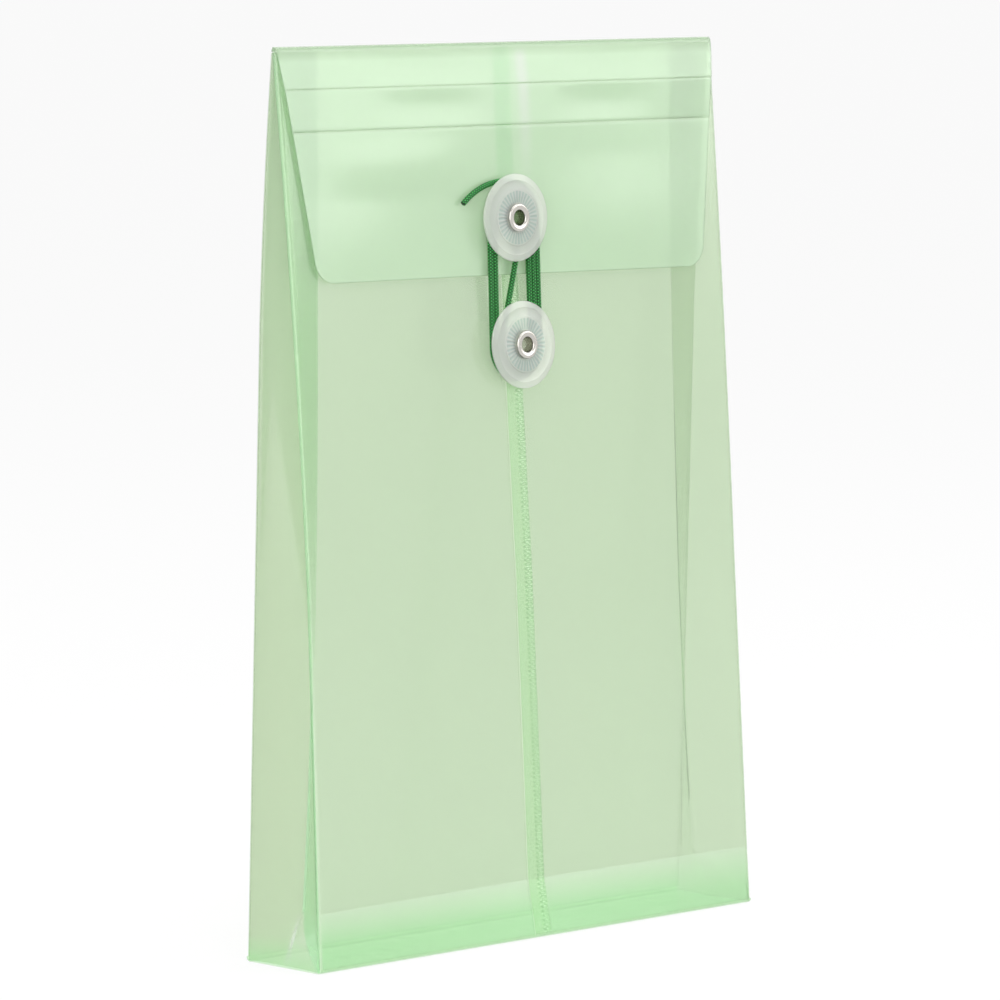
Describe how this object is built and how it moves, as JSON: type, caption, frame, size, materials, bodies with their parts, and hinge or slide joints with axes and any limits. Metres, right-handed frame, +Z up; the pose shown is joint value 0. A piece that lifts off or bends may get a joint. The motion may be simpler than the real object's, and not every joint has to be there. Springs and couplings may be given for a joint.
{
  "type": "string tie envelope",
  "caption": "Standing gusseted envelope of translucent plastic film; its scored front flap is tied down by a string wound round riveted button discs.",
  "frame": {"origin": "middle of the base's underside", "axes": "+Z up, X along the width, the front with the flap faces -Y"},
  "size_m": [0.1588, 0.0286, 0.235],
  "materials": {
    "film": "satin translucent polypropylene film, pale green",
    "disc": "milky translucent moulded plastic",
    "washer": "plain moulded plastic",
    "eyelet": "bright nickel plate",
    "string": "braided cotton, dark green"
  },
  "bodies": {
    "pocket": {"front_panel_left": "film", "front_panel_right": "film", "front_foot_strip": "film", "base_panel": "film", "left_gusset_front_leaf": "film", "left_gusset_rear_leaf": "film", "right_gusset_front_leaf": "film", "right_gusset_rear_leaf": "film", "left_base_tuck": "film", "right_base_tuck": "film", "lower_washer": "washer", "lower_eyelet": "eyelet"},
    "rear": {"back_panel": "film"},
    "flap_top": {"top_fold": "film", "flap_top_strip": "film"},
    "flap_middle": {"flap_middle_strip": "film"},
    "flap_front": {"flap_panel": "film", "upper_washer": "washer", "upper_eyelet": "eyelet", "string": "string"},
    "upper_button": {"upper_disc": "disc"},
    "lower_button": {"lower_disc": "disc"}
  },
  "joints": [
    {"name": "rear_hinge", "type": "hinge", "parent": "pocket", "child": "rear", "pos_m": [0, 0.00405, 0.2338], "axis": [-1, 0, 0], "range_deg": [0, 6], "deforming": ["left_gusset_front_leaf", "left_gusset_rear_leaf", "right_gusset_front_leaf", "right_gusset_rear_leaf", "left_base_tuck", "right_base_tuck"]},
    {"name": "flap_hinge", "type": "hinge", "parent": "pocket", "child": "flap_top", "pos_m": [0, 0.00415, 0.23385], "axis": [-1, 0, 0], "range_deg": [0, 200], "deforming": ["string"]},
    {"name": "first_score_hinge", "type": "hinge", "parent": "flap_top", "child": "flap_middle", "pos_m": [0, 0.0001, 0.2242], "axis": [-1, -0.0021, 0], "range_deg": [0, 60], "deforming": ["string"]},
    {"name": "second_score_hinge", "type": "hinge", "parent": "flap_middle", "child": "flap_front", "pos_m": [0, -0.0008, 0.2134], "axis": [-1, -0.0068, 0], "range_deg": [0, 60], "deforming": ["string"]},
    {"name": "upper_disc_spin", "type": "hinge", "parent": "flap_front", "child": "upper_button", "pos_m": [-0.0012, -0.00168, 0.1892], "axis": [0, -0.9993, 0.0367], "continuous": true},
    {"name": "lower_disc_spin", "type": "hinge", "parent": "pocket", "child": "lower_button", "pos_m": [0.0008, -0.00268, 0.1558], "axis": [0, -0.9977, 0.068], "continuous": true}
  ]
}
